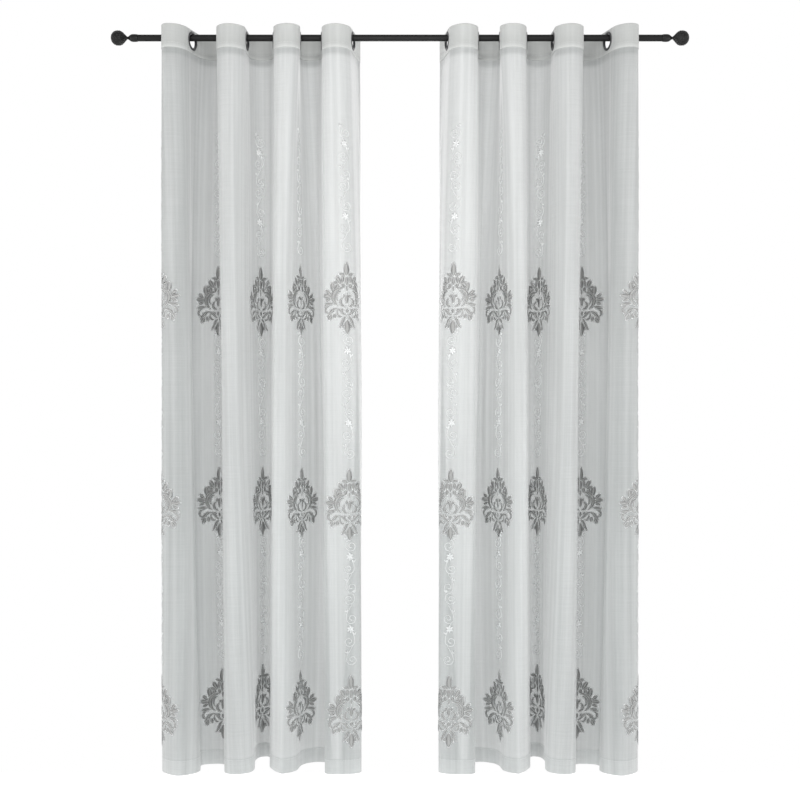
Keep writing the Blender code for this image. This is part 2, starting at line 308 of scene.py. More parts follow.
def flap_points(crossing, turn_degrees, straight):
    """Free end of the cloth behind the rod: straight past the ring, then one even curl."""
    heading = math.atan2(1.0, crossing[2])
    steps = 40
    turned = (np.arange(steps) + 0.5) / steps
    angles = heading - np.radians(turn_degrees) * turned
    strides = (END_FLAP - straight) / steps * np.column_stack([np.cos(angles), np.sin(angles)])
    ring_side = np.array(crossing[:2])
    past_ring = ring_side + straight * np.array([math.cos(heading), math.sin(heading)])
    return np.vstack([ring_side, past_ring, past_ring + np.cumsum(strides, axis=0)])


def section(fraction, steps):
    """Plan of the left curtain at one height, as evenly spaced points from edge to edge."""
    straight = blend(STRAIGHT_HALF, fraction)
    crossings = [[blend(values, fraction) for values in zip(*row)] for row in CROSSINGS]
    parts = [flap_points(crossings[0], blend(OUTER_FLAP_TURN, fraction), straight)[::-1]]
    for (side, widths, squareness), first, last in zip(FOLDS, crossings, crossings[1:]):
        parts.append(fold_points(first, last, side, blend(widths, fraction), straight,
                                 blend(squareness, fraction))[1:])
    parts.append(flap_points(crossings[-1], blend(INNER_FLAP_TURN, fraction), straight)[1:])
    dense = np.vstack(parts)
    walked = np.concatenate([[0.0], np.cumsum(np.linalg.norm(np.diff(dense, axis=0), axis=1))])
    even = np.linspace(0.0, walked[-1], steps + 1)
    return np.column_stack([np.interp(even, walked, dense[:, axis]) for axis in (0, 1)])


class Drape:
    """Hung shape of the cloth: where any point of the flat cloth lies."""

    LEVELS = 28
    STEPS = 700

    def __init__(self):
        fractions = np.linspace(0.0, 1.0, self.LEVELS + 1)
        self.plans = np.array([section(fraction, self.STEPS) for fraction in fractions])
        along = np.gradient(self.plans, axis=1)
        self.along = along / np.linalg.norm(along, axis=2, keepdims=True)

    def relief(self, across, height):
        """How far creases lift the cloth from its plain folds."""
        lift = np.zeros_like(across)
        for middle, half_width, rise, top, bottom in CREASES:
            shape = np.exp(-((across - middle) / half_width) ** 2)
            fade_in = np.clip((top - height) / CREASE_FADE, 0.0, 1.0)
            fade_out = np.clip((height - bottom) / CREASE_FADE, 0.0, 1.0)
            wander = 1.0 + 0.35 * np.sin(height * 7.0 + middle * 40.0)
            lift = lift + rise * shape * wander * fade_in * np.maximum(fade_out, 0.35)
        return np.where(height > BAND_BOTTOM, 0.0, lift)

    def place(self, across, height, lift, mirror):
        """Points of the hung cloth, lifted off it towards the viewer's side of the sheet."""
        across = np.asarray(across, dtype=float)
        height = np.asarray(height, dtype=float)
        fraction = np.clip((BAND_BOTTOM - height) / (BAND_BOTTOM - HEM_HEIGHT), 0.0, 1.0)
        row = np.minimum(fraction * self.LEVELS, self.LEVELS - 1e-6)
        column = np.clip(across / FLAT_WIDTH, 0.0, 1.0) * self.STEPS
        column = np.minimum(column, self.STEPS - 1e-6)
        i = row.astype(int)
        j = column.astype(int)
        row_share = (row - i)[:, None]
        column_share = (column - j)[:, None]

        def read(table):
            upper = table[i, j] * (1.0 - column_share) + table[i, j + 1] * column_share
            lower = table[i + 1, j] * (1.0 - column_share) + table[i + 1, j + 1] * column_share
            return upper * (1.0 - row_share) + lower * row_share

        place = read(self.plans)
        along = read(self.along)
        facing = np.column_stack([along[:, 1], -along[:, 0]])
        facing /= np.linalg.norm(facing, axis=1, keepdims=True)
        place = place + facing * (lift + self.relief(across, height))[:, None]
        return np.column_stack([mirror * place[:, 0], place[:, 1], height])


def new_piece(name, points, faces, material, uv=None, smooth=True):
    """Mesh object on the one body, with its cloth coordinates if it has any."""
    mesh = bpy.data.meshes.new(name)
    mesh.from_pydata([tuple(point) for point in points], [], [list(face) for face in faces])
    if uv is not None:
        layer = mesh.uv_layers.new(name="cloth")
        corner_points = np.zeros(len(mesh.loops), dtype=int)
        mesh.loops.foreach_get("vertex_index", corner_points)
        layer.data.foreach_set("uv", np.asarray(uv, dtype=np.float32)[corner_points].ravel())
    if smooth:
        mesh.shade_smooth()
    mesh.materials.append(material)
    piece = bpy.data.objects.new(name, mesh)
    bpy.context.scene.collection.objects.link(piece)
    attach(piece, "root")
    return piece


def grid_faces(rows, columns, flip):
    index = np.arange(rows * columns).reshape(rows, columns)
    quads = np.stack([index[:-1, :-1], index[1:, :-1], index[1:, 1:], index[:-1, 1:]], axis=-1)
    quads = quads.reshape(-1, 4)
    return quads[:, ::-1] if flip else quads


def cloth_piece(name, drape, across, rows, mirror, material, holes=()):
    """Sheet over the given widths and rows of (height, lift), with round holes if asked."""
    heights = np.array([row[0] for row in rows])
    lifts = np.array([row[1] for row in rows])
    walk = np.hypot(np.diff(heights), np.diff(lifts))
    down = np.concatenate([[0.0], np.cumsum(walk)])
    grid_across = np.tile(across, len(rows))
    grid_height = np.repeat(heights, len(across))
    grid_lift = np.repeat(lifts, len(across))
    faces = grid_faces(len(rows), len(across), mirror < 0)
    for centre_across, centre_height, radius in holes:
        middle_across = grid_across[faces].mean(axis=1) - centre_across
        middle_height = grid_height[faces].mean(axis=1) - centre_height
        outside = np.hypot(middle_across, middle_height) > radius
        cut = np.unique(faces[~outside])
        faces = faces[outside]
        rim = cut[np.isin(cut, np.unique(faces))]
        from_centre = np.column_stack([grid_across[rim] - centre_across,
                                       grid_height[rim] - centre_height])
        from_centre *= radius / np.linalg.norm(from_centre, axis=1, keepdims=True)
        grid_across[rim] = centre_across + from_centre[:, 0]
        grid_height[rim] = centre_height + from_centre[:, 1]
    points = drape.place(grid_across, grid_height, grid_lift, mirror)
    used, faces = np.unique(faces, return_inverse=True)
    faces = faces.reshape(-1, 4)
    uv = np.column_stack([grid_across, np.repeat(down, len(across))])[used]
    return new_piece(name, points[used], faces, material, uv)


def turned_piece(name, outline, sides, material, place, turn_z, sharp_degrees=35.0):
    """Outline of (distance along X, radius) turned about the X axis and set in its place."""
    cos_z, sin_z = math.cos(turn_z), math.sin(turn_z)
    points = []
    rings = []
    for distance, radius in outline:
        count = 1 if radius == 0.0 else sides
        rings.append([len(points) + side for side in range(count)])
        for side in range(count):
            angle = 2.0 * math.pi * side / sides
            y = radius * math.cos(angle)
            points.append((place[0] + distance * cos_z - y * sin_z,
                           place[1] + distance * sin_z + y * cos_z,
                           place[2] + radius * math.sin(angle)))
    if outline[0] == outline[-1]:
        points = points[:-sides]
        rings[-1] = rings[0]
    faces = []
    for ring, after in zip(rings, rings[1:]):
        for side in range(sides):
            beside = (side + 1) % sides
            corners = [ring[side % len(ring)], ring[beside % len(ring)],
                       after[beside % len(after)], after[side % len(after)]]
            faces.append(list(dict.fromkeys(corners)))
    piece = new_piece(name, points, faces, material)
    face_outwards(piece)
    piece.data.set_sharp_from_angle(angle=math.radians(sharp_degrees))
    return piece


def face_outwards(piece):
    builder = bmesh.new()
    builder.from_mesh(piece.data)
    bmesh.ops.recalc_face_normals(builder, faces=builder.faces)
    builder.to_mesh(piece.data)
    builder.free()


def stroke(centre_line, half_widths, rise, base):
    """Raised stroke of thread along a line: flat points, lifts, faces and thread directions."""
    line = np.asarray(centre_line, dtype=float)
    way = np.gradient(line, axis=0)
    way /= np.linalg.norm(way, axis=1, keepdims=True)
    beside = np.column_stack([-way[:, 1], way[:, 0]]) * np.asarray(half_widths)[:, None]
    count = len(line)
    flat = np.empty((count, 4, 2))
    flat[:, 0] = line + beside
    flat[:, 1] = line
    flat[:, 2] = line - beside
    flat[:, 3] = line
    lifts = np.tile([base + 0.35 * rise, base + rise, base + 0.35 * rise, base], (count, 1))
    walked = np.concatenate([[0.0], np.cumsum(np.linalg.norm(np.diff(line, axis=0), axis=1))])
    sides = np.stack([np.asarray(half_widths), np.zeros(count), -np.asarray(half_widths),
                      np.zeros(count)], axis=1)
    uv = np.stack([np.repeat(walked, 4).reshape(count, 4), sides], axis=-1)
    faces = []
    for step in range(count - 1):
        here = step * 4
        for side in range(4):
            beside_index = (side + 1) % 4
            faces.append((here + side, here + beside_index, here + 4 + beside_index,
                          here + 4 + side))
    faces.append((3, 2, 1, 0))
    last = (count - 1) * 4
    faces.append((last, last + 1, last + 2, last + 3))
    return flat.reshape(-1, 2), lifts.ravel(), np.array(faces), uv.reshape(-1, 2)


def leaf_line(x, y, angle, length, bend, steps):
    """Line from x, y that sets out at the angle and turns evenly by the bend."""
    turned = np.radians(angle + bend * (np.arange(steps) + 0.5) / steps)
    strides = length / steps * np.column_stack([np.cos(turned), np.sin(turned)])
    return np.vstack([[x, y], np.array([x, y]) + np.cumsum(strides, axis=0)])


def leaf_widths(width, belly, steps):
    """Half widths of a leaf: narrow foot, full belly, rounded tip."""
    t = np.linspace(0.0, 1.0, steps + 1)
    return 0.5 * width * np.maximum(np.abs(np.sin(math.pi * t ** belly)) ** 0.7, 0.08)


def band_widths(width, steps):
    """Half widths of a band: even along most of it, narrow at both ends."""
    t = np.linspace(0.0, 1.0, steps + 1)
    return 0.5 * width * np.maximum(np.sin(math.pi * t) ** 0.55, 0.14)


def motif_strokes(extra, rise, base):
    """Strokes of one motif in millimetres; extra widens each leaf for its outline."""
    leaves = [row + (1,) for row in CENTRE_LEAVES]
    for row in SIDE_LEAVES:
        leaves += [row + (1,), row + (-1,)]
    strokes = []
    for x, y, angle, length, full_width, bend, belly, layer, side in leaves:
        width = LEAF_FULLNESS * full_width
        start_x = x - extra * math.cos(math.radians(angle))
        start_y = y - extra * math.sin(math.radians(angle))
        line = leaf_line(start_x, start_y, angle, length + 2.0 * extra, bend, LEAF_STEPS)
        line[:, 0] *= side
        widths = leaf_widths(width, belly, LEAF_STEPS) + extra
        strokes.append(stroke(line, widths, rise, base + LAYER_RISE * layer))
    for first, second, third, fourth, width, layer in SIDE_BANDS:
        for side in (1, -1):
            line = curve_points(first, second, third, fourth, BAND_STEPS)
            line[:, 0] *= side
            widths = band_widths(width, BAND_STEPS) + extra
            strokes.append(stroke(line, widths, rise, base + LAYER_RISE * layer))
    return strokes


def spiral_line(centre_x, centre_y, side):
    """Scroll that starts on the far side of its centre and winds in from below."""
    turns = np.radians(np.linspace(25.0, -480.0, 27))
    radii = np.linspace(17.0, 3.0, 27)
    return np.column_stack([centre_x - side * radii * np.cos(turns),
                            centre_y + radii * np.sin(turns)])


def trail_strokes(motif_height):
    """White trail below one motif: a winding stem with scrolls, small leaves and flowers."""
    strokes = []
    places = []
    for flower in (TRAIL_FLOWERS[0] - TRAIL_REPEAT,) + TRAIL_FLOWERS:
        places += [(flower + drop, side) for drop, side in TRAIL_SCROLLS]
    tail = np.array([0.0, motif_height - TRAIL_START + 10.0])
    for drop, side in places:
        if not TRAIL_START < drop < TRAIL_END:
            continue
        centre_y = motif_height - drop
        spiral = spiral_line(side * 4.0, centre_y, side)
        lead = curve_points(tail, tail + (0.0, -10.0), spiral[0] + (0.0, 13.0), spiral[0], 8)
        line = np.vstack([lead[:-1], spiral])
        widths = np.interp(np.arange(len(line)), (0, 4, 26, len(line) - 1),
                           (0.9, 1.35, 1.35, 2.2))
        strokes.append(stroke(line, widths, 0.8, 0.2))
        for angle, reach in ((62.0, 10.0), (118.0, 9.0)):
            leaf = leaf_line(-side * 11.0, centre_y + 18.0, angle, reach, 20.0 * side, 4)
            strokes.append(stroke(leaf, leaf_widths(5.0, 1.1, 4), 0.7, 0.2))
        tail = spiral[4]
    for flower in TRAIL_FLOWERS:
        strokes += flower_strokes(0.0, motif_height - flower)
    return strokes


def flower_strokes(x, y):
    """Small flower of six petals."""
    petals = []
    for petal in range(6):
        line = leaf_line(x, y, 30.0 + 60.0 * petal, 11.5, 0.0, 4)
        petals.append(stroke(line, leaf_widths(9.0, 1.2, 4), 0.9, 0.2))
    return petals


def embroider(name, drape, groups, mirror, material):
    """One mesh of strokes; groups are (across, height, strokes) in metres and millimetres."""
    flat_parts, lift_parts, face_parts, uv_parts = [], [], [], []
    count = 0
    for across, height, strokes in groups:
        for flat, lifts, faces, uv in strokes:
            flat_parts.append(flat * MM + np.array([across, height]))
            lift_parts.append(lifts * MM)
            face_parts.append(faces + count)
            uv_parts.append(uv * MM)
            count += len(flat)
    flat = np.vstack(flat_parts)
    points = drape.place(flat[:, 0], flat[:, 1], np.concatenate(lift_parts), mirror)
    faces = np.vstack(face_parts)
    if mirror < 0:
        faces = faces[:, ::-1]
    piece = new_piece(name, points, faces, material, np.vstack(uv_parts))
    return piece


def stitch_strokes(start, end, lift):
    """Run of small stitches between two places on the flat cloth, in millimetres."""
    start = np.array(start, dtype=float)
    end = np.array(end, dtype=float)
    way = end - start
    total = np.linalg.norm(way)
    way /= total
    beside = np.array([-way[1], way[0]])
    count = int(total / STITCH_PITCH)
    centres = start + np.outer((np.arange(count) + 0.5) * total / count, way)
    end_step = STITCH_HALF_LENGTH * way
    side_step = STITCH_HALF_WIDTH * beside
    corners = np.array([-end_step, side_step, end_step, -side_step, 0.0 * way, 0.0 * way])
    flat = (centres[:, None, :] + corners[None, :, :]).reshape(-1, 2)
    lifts = np.tile([lift, lift + 0.12, lift, lift + 0.12, lift + 0.4, lift - 0.1], count)
    shape = np.array([(0, 1, 4), (1, 2, 4), (2, 3, 4), (3, 0, 4),
                      (1, 0, 5), (2, 1, 5), (3, 2, 5), (0, 3, 5)])
    faces = (shape[None, :, :] + 6 * np.arange(count)[:, None, None]).reshape(-1, 3)
    uv = np.column_stack([flat @ way, flat @ beside])
    return flat, lifts, faces[:, ::-1], uv


# Materials
NO_STRIP = (9.0, 9.1, 0.0, 0.0)


def new_material(name):
    material = bpy.data.materials.new(name)
    material.use_nodes = True
    return material, material.node_tree, material.node_tree.nodes["Principled BSDF"]


def add_node(tree, kind, **settings):
    node = tree.nodes.new(kind)
    for key, value in settings.items():
        if key in node.inputs:
            node.inputs[key].default_value = value
        else:
            setattr(node, key, value)
    return node


def mix_colours(tree, factor, first, second, clamped=True):
    node = tree.nodes.new("ShaderNodeMix")
    node.data_type = "RGBA"
    node.clamp_factor = clamped
    tree.links.new(factor, node.inputs["Factor"])
    node.inputs["A"].default_value = first
    node.inputs["B"].default_value = second
    return node.outputs["Result"]


def ramp(tree, value, low, high, out_low, out_high):
    node = tree.nodes.new("ShaderNodeMapRange")
    tree.links.new(value, node.inputs["Value"])
    node.inputs["From Min"].default_value = low
    node.inputs["From Max"].default_value = high
    node.inputs["To Min"].default_value = out_low
    node.inputs["To Max"].default_value = out_high
    return node.outputs["Result"]


def math_node(tree, operation, first, second):
    node = tree.nodes.new("ShaderNodeMath")
    node.operation = operation
    for socket, value in zip(node.inputs, (first, second)):
        if isinstance(value, (int, float)):
            socket.default_value = value
        else:
            tree.links.new(value, socket)
    return node.outputs["Value"]


def cloth_coordinates(tree, scale):
    coordinates = add_node(tree, "ShaderNodeUVMap", uv_map="cloth")
    mapping = tree.nodes.new("ShaderNodeMapping")
    mapping.inputs["Scale"].default_value = scale
    tree.links.new(coordinates.outputs["UV"], mapping.inputs["Vector"])
    return mapping.outputs["Vector"]


def noise(tree, vector, scale, detail=2.0):
    node = add_node(tree, "ShaderNodeTexNoise", Scale=scale, Detail=detail)
    tree.links.new(vector, node.inputs["Vector"])
    return node.outputs["Fac"]


def threads(tree, vector, direction, scale):
    node = add_node(tree, "ShaderNodeTexWave", Scale=scale, Distortion=0.6)
    node.bands_direction = direction
    node.inputs["Detail"].default_value = 1.0
    tree.links.new(vector, node.inputs["Vector"])
    return node.outputs["Fac"]


def voile_material(name, light, dark, cover, cover_swing, glow, strip):
    """Sheer plain weave: fine threads both ways, slubs, soft gaps, and light let through.

    The strip is where the cloth lies double along a seam, or on the voile a painted shade band just
    under the heading: from and to, down the sheet, then how much paler it looks (below zero it is
    painted shade) and how much denser it is. NO_STRIP lies past the end of every sheet.
    """
    material, tree, shader = new_material(name)
    plain = cloth_coordinates(tree, (1.0, 1.0, 1.0))
    warp = threads(tree, plain, "X", 320.0)
    weft = threads(tree, plain, "Y", 300.0)
    weave = math_node(tree, "MULTIPLY", warp, weft)
    long_slubs = noise(tree, cloth_coordinates(tree, (900.0, 14.0, 1.0)), 1.0, 3.0)
    cross_slubs = noise(tree, cloth_coordinates(tree, (9.0, 700.0, 1.0)), 1.0, 3.0)
    slubs = math_node(tree, "ADD", long_slubs, cross_slubs)
    patches = noise(tree, cloth_coordinates(tree, (14.0, 3.0, 1.0)), 1.0, 2.0)
    streaks = noise(tree, cloth_coordinates(tree, (75.0, 0.8, 1.0)), 1.0, 1.0)
    streak = math_node(tree, "MULTIPLY", math_node(tree, "SUBTRACT", streaks, 0.5), 1.1)
    uneven = math_node(tree, "ADD", math_node(tree, "MULTIPLY", patches, 0.5), streak)
    tone = math_node(tree, "ADD", math_node(tree, "MULTIPLY", slubs, 0.35), uneven)
    strip_start, strip_end, strip_pale_or_shade, strip_dense = strip
    down = tree.nodes.new("ShaderNodeSeparateXYZ")
    tree.links.new(plain, down.inputs["Vector"])
    # Strip mask: cloth lying double on the band; on the voile a painted shade band just under the
    # heading
    begins = ramp(tree, down.outputs["Y"], strip_start, strip_start + 0.0015, 0.0, 1.0)
    ends = ramp(tree, down.outputs["Y"], strip_end - 0.010, strip_end, 1.0, 0.0)
    doubled_or_shaded_strip = math_node(tree, "MULTIPLY", begins, ends)
    hem = ramp(tree, down.outputs["Y"], HEM_STARTS, HEM_STARTS + 0.0015, 0.0, 0.8)
    pale = math_node(tree, "ADD", ramp(tree, tone, 0.35, 0.85, 0.0, 1.0),
                     math_node(tree, "MULTIPLY", doubled_or_shaded_strip, strip_pale_or_shade))
    pale = math_node(tree, "ADD", pale, hem)
    colour = mix_colours(tree, pale, dark, light, clamped=False)
    tree.links.new(colour, shader.inputs["Base Color"])
    fibre = math_node(tree, "ADD", math_node(tree, "MULTIPLY", weave, 0.4),
                      math_node(tree, "MULTIPLY", slubs, 0.3))
    bump = add_node(tree, "ShaderNodeBump", Strength=0.25, Distance=0.0003)
    tree.links.new(fibre, bump.inputs["Height"])
    tree.links.new(bump.outputs["Normal"], shader.inputs["Normal"])
    tree.links.new(ramp(tree, slubs, 0.6, 1.4, 0.82, 0.95), shader.inputs["Roughness"])
    shader.inputs["Sheen Weight"].default_value = 1.0
    shader.inputs["Sheen Roughness"].default_value = 0.45
    shader.inputs["Specular IOR Level"].default_value = 0.2

    let_through = tree.nodes.new("ShaderNodeBsdfTranslucent")
    tree.links.new(colour, let_through.inputs["Color"])
    cloth = add_node(tree, "ShaderNodeMixShader", Fac=glow)
    tree.links.new(shader.outputs["BSDF"], cloth.inputs[1])
    tree.links.new(let_through.outputs["BSDF"], cloth.inputs[2])
    sheer = tree.nodes.new("ShaderNodeMixShader")
    woven = ramp(tree, fibre, 0.1, 0.6, cover - cover_swing, cover + cover_swing)
    tree.links.new(math_node(tree, "ADD", woven, math_node(tree, "MULTIPLY", doubled_or_shaded_strip, strip_dense)),
                   sheer.inputs["Fac"])
    tree.links.new(tree.nodes.new("ShaderNodeBsdfTransparent").outputs["BSDF"], sheer.inputs[1])
    tree.links.new(cloth.outputs["Shader"], sheer.inputs[2])
    tree.links.new(sheer.outputs["Shader"], tree.nodes["Material Output"].inputs["Surface"])
    return material


def thread_material(name, light, dark, roughness, gloss, painted_front_fold_light):
    """Satin stitch: fine threads lying across each stroke, with a soft lustre.

    On the folds that stand towards the viewer its colour is multiplied by a given factor:
    painted highlight where the factor is above 1, painted shade where it is below 1.
    """
    material, tree, shader = new_material(name)
    strands = threads(tree, cloth_coordinates(tree, (1.0, 1.0, 1.0)), "X", 420.0)
    patches = noise(tree, cloth_coordinates(tree, (60.0, 60.0, 1.0)), 1.0, 2.0)
    tone = math_node(tree, "ADD", math_node(tree, "MULTIPLY", strands, 0.45),
                     math_node(tree, "MULTIPLY", patches, 0.55))
    place = tree.nodes.new("ShaderNodeSeparateXYZ")
    tree.links.new(add_node(tree, "ShaderNodeNewGeometry").outputs["Position"],
                   place.inputs["Vector"])
    painted_fold_colour = tree.nodes.new("ShaderNodeVectorMath")
    painted_fold_colour.operation = "SCALE"
    tree.links.new(mix_colours(tree, ramp(tree, tone, 0.2, 0.8, 0.0, 1.0), dark, light),
                   painted_fold_colour.inputs["Vector"])
    # Painted light: colour scaled by how far forward the stroke stands, so front folds are lighter
    # or darker
    tree.links.new(ramp(tree, place.outputs["Y"], -0.060, -0.012, painted_front_fold_light, 1.0),
                   painted_fold_colour.inputs["Scale"])
    tree.links.new(painted_fold_colour.outputs["Vector"], shader.inputs["Base Color"])
    bump = add_node(tree, "ShaderNodeBump", Strength=0.5, Distance=0.0004)
    tree.links.new(strands, bump.inputs["Height"])
    tree.links.new(bump.outputs["Normal"], shader.inputs["Normal"])
    tree.links.new(ramp(tree, patches, 0.3, 0.7, roughness - 0.06, roughness + 0.08),
                   shader.inputs["Roughness"])
    shader.inputs["Sheen Weight"].default_value = 0.3
    shader.inputs["Specular IOR Level"].default_value = gloss
    return material


def metal_material(name, base, worn, metallic, roughness, coat):
    """Coated metal with a fine grain, small variations of gloss and faint rubbed marks."""
    material, tree, shader = new_material(name)
    place = add_node(tree, "ShaderNodeTexCoord").outputs["Object"]
    grain = noise(tree, place, 900.0, 3.0)
    wear = noise(tree, place, 26.0, 5.0)
    tree.links.new(mix_colours(tree, ramp(tree, wear, 0.52, 0.78, 0.0, 1.0), base, worn),
                   shader.inputs["Base Color"])
    tree.links.new(ramp(tree, wear, 0.3, 0.75, roughness - 0.05, roughness + 0.12),
                   shader.inputs["Roughness"])
    bump = add_node(tree, "ShaderNodeBump", Strength=0.12, Distance=0.0002)
    tree.links.new(grain, bump.inputs["Height"])
    tree.links.new(bump.outputs["Normal"], shader.inputs["Normal"])
    shader.inputs["Metallic"].default_value = metallic
    shader.inputs["Specular IOR Level"].default_value = 0.28
    shader.inputs["Coat Weight"].default_value = coat
    shader.inputs["Coat Roughness"].default_value = 0.25
    return material


def make_materials():
    """Materials by name. Colours run from light to dark, or from the coat to worn spots."""
    return {
        # Voile: its strip is a painted shade band just under the heading, darker and denser
        "voile": voile_material(
            "voile", light=(0.62, 0.632, 0.630, 1.0), dark=(0.51, 0.522, 0.520, 1.0),
            cover=0.82, cover_swing=0.06, glow=0.22, strip=(0.0085, 0.031, -1.1, 0.10)),
        "hem": voile_material(
            "hem_cloth", light=(0.70, 0.712, 0.710, 1.0), dark=(0.64, 0.652, 0.650, 1.0),
            cover=0.82, cover_swing=0.06, glow=0.30, strip=NO_STRIP),
        "band": voile_material(
            "heading_cloth", light=(0.645, 0.655, 0.645, 1.0), dark=(0.585, 0.595, 0.585, 1.0),
            cover=0.82, cover_swing=0.05, glow=0.22, strip=(0.0162, 0.0300, 1.9, 0.04)),
        "white_thread": thread_material(
            "white_thread", light=(0.96, 0.97, 0.97, 1.0), dark=(0.87, 0.88, 0.88, 1.0),
            roughness=0.45, gloss=0.5, painted_front_fold_light=1.0),
        # Trail thread: painted shade, darker on the front folds
        "trail_thread": thread_material(
            "trail_thread", light=(0.97, 0.98, 0.98, 1.0), dark=(0.90, 0.91, 0.91, 1.0),
            roughness=0.50, gloss=0.5, painted_front_fold_light=0.80),
        # Grey thread: painted highlight, paler on the front folds
        "grey_thread": thread_material(
            "grey_thread", light=(0.34, 0.34, 0.335, 1.0), dark=(0.23, 0.23, 0.225, 1.0),
            roughness=0.36, gloss=0.8, painted_front_fold_light=1.38),
        "ring": metal_material(
            "gunmetal", base=(0.10, 0.10, 0.105, 1.0), worn=(0.22, 0.22, 0.22, 1.0),
            metallic=0.85, roughness=0.30, coat=0.1),
        "rod": metal_material(
            "black_rod", base=(0.004, 0.004, 0.004, 1.0), worn=(0.008, 0.008, 0.008, 1.0),
            metallic=0.0, roughness=0.45, coat=0.0),
        "knob": metal_material(
            "black_knob", base=(0.005, 0.005, 0.005, 1.0), worn=(0.02, 0.02, 0.02, 1.0),
            metallic=0.0, roughness=0.30, coat=0.0),
    }


# Pieces
def hang_cloth(side_name, mirror, drape, material):
    """Panel from under the heading down to the hem, which is turned up behind it."""
    fold_height = HEM_HEIGHT + HEM_FOLD
    turned_up = np.linspace(fold_height, HEM_HEIGHT + HEM_TURN_UP, 6)
    rows = [(z, 0.0) for z in np.linspace(CLOTH_TOP, fold_height, CLOTH_ROWS)]
    rows += [(HEM_HEIGHT, -0.0003), (HEM_HEIGHT, -0.0010)]
    rows += [(z, HEM_LAYER) for z in turned_up]
    across = np.linspace(0.0, FLAT_WIDTH, CLOTH_COLUMNS)
    cloth = cloth_piece("cloth_" + side_name, drape, across, rows, mirror, material)
    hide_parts("panel_" + side_name)
    return cloth


def hang_side_hems(side_name, mirror, drape, material):
    """Narrow hems folded behind the two side edges of the panel."""
    side_hems = []
    edges = (("outer", SIDE_HEM_EDGE, SIDE_HEM_WIDTH),
             ("inner", FLAT_WIDTH - SIDE_HEM_WIDTH, FLAT_WIDTH - SIDE_HEM_EDGE))
    side_heights = np.linspace(SIDE_HEM_TOP, HEM_HEIGHT + 2.0 * HEM_FOLD, 110)
    side_rows = [(z, SIDE_HEM_LAYER) for z in side_heights]
    for edge_name, low, high in edges:
        hem = cloth_piece("side_hem_" + side_name + "_" + edge_name, drape,
                          np.linspace(low, high, 7), side_rows, mirror, material)
        side_hems.append(hem)
    return side_hems


def hang_band(side_name, mirror, drape, material):
    """Heading band: up the front, over the top and down the back, with its edges turned in."""
    climb = np.arange(BAND_BOTTOM + 0.001, BAND_TOP - 0.0008, BAND_ROW_STEP)
    turned_in = np.linspace(BAND_TURN_IN_TOP, BAND_TURN_IN_END, 6)
    rows = [(z, 0.0005) for z in turned_in]
    rows += [(BAND_BOTTOM, 0.0008)]
    rows += [(z, BAND_LAYER) for z in climb]
    rows += [(BAND_TOP - 0.0003, 0.0007), (BAND_TOP, 0.0), (BAND_TOP - 0.0003, -0.0007)]
    rows += [(z, -BAND_LAYER) for z in climb[::-1]]
    rows += [(BAND_BOTTOM, -0.0009)]
    rows += [(z, -0.0006) for z in turned_in[::-1]]
    holes = [(END_FLAP + EYELET_PITCH * k, -RING_DROP, BAND_HOLE_RADIUS)
             for k in range(len(CROSSINGS))]
    across = np.linspace(0.0, FLAT_WIDTH, BAND_COLUMNS)
    band = cloth_piece("band_" + side_name, drape, across, rows, mirror, material, holes)
    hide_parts("heading_" + side_name)
    return band


def make_embroidery(side_name, mirror, drape, materials):
    """White outlines, grey leaves over them, and the trails between the motifs."""
    outline_groups = []
    grey_groups = []
    outlines = motif_strokes(OUTLINE_WIDTH, 0.18, 0.10)
    greys = motif_strokes(0.0, 0.32, 0.18)
    for across in MOTIF_COLUMNS:
        for height in MOTIF_ROWS:
            outline_groups.append((across, height, outlines))
            grey_groups.append((across, height, greys))
    pale = embroider("motif_outlines_" + side_name, drape, outline_groups, mirror,
                     materials["white_thread"])
    grey = embroider("motif_leaves_" + side_name, drape, grey_groups, mirror,
                     materials["grey_thread"])
    trail_groups = []
    for height in MOTIF_ROWS:
        strokes = trail_strokes((height + MOTIF_PITCH) / MM)
        for across in MOTIF_COLUMNS:
            trail_groups.append((across, 0.0, strokes))
    trails = embroider("trails_" + side_name, drape, trail_groups, mirror,
                       materials["trail_thread"])
    return [pale, grey, trails]


def make_stitches(side_name, mirror, drape, materials):
    """Rows of stitches on the bottom hem, the seam of the heading and the side hems."""
    width = FLAT_WIDTH / MM
    hem_end = HEM_HEIGHT / MM
    hem_line = hem_end + HEM_STITCH_RISE
    runs = [stitch_strokes((1.0, hem_line), (width - 1.0, hem_line), 0.1)]
    for height in SEAM_STITCH_HEIGHTS:
        runs.append(stitch_strokes((1.0, height), (width - 1.0, height), 1.3))
    for across in (SIDE_STITCH_INSET, width - SIDE_STITCH_INSET):
        runs.append(stitch_strokes((across, SIDE_STITCH_TOP), (across, hem_end + 4.0), 0.1))
    return embroider("stitches_" + side_name, drape, [(0.0, 0.0, runs)], mirror,
                     materials["white_thread"])


def make_rings(side_name, mirror, materials):
    """Eyelet rings, hanging on the rod and square to the cloth that crosses it."""
    outline = [
        (-0.0016, 0.0195), (-0.0024, 0.0197), (-0.0031, 0.0205), (-0.0035, 0.0219),
        (-0.0035, 0.0236), (-0.0031, 0.0252), (-0.0024, 0.0265), (-0.0017, 0.0270),
        (-0.0015, 0.0262), (-0.0015, 0.0228), (0.0015, 0.0228), (0.0015, 0.0262),
        (0.0017, 0.0270), (0.0024, 0.0265), (0.0031, 0.0252), (0.0035, 0.0236),
        (0.0035, 0.0219), (0.0031, 0.0205), (0.0024, 0.0197), (0.0016, 0.0195),
        (-0.0016, 0.0195),
    ]
    rings = []
    for number, row in enumerate(CROSSINGS, start=1):
        x, y, lean = row[0]
        name = side_name + "_" + str(number)
        ring = turned_piece("ring_" + name, outline, 56, materials["ring"],
                            (mirror * x, y, -RING_DROP), -mirror * math.atan(lean), 40.0)
        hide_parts("eyelet_" + name)
        rings.append(ring)
    return rings


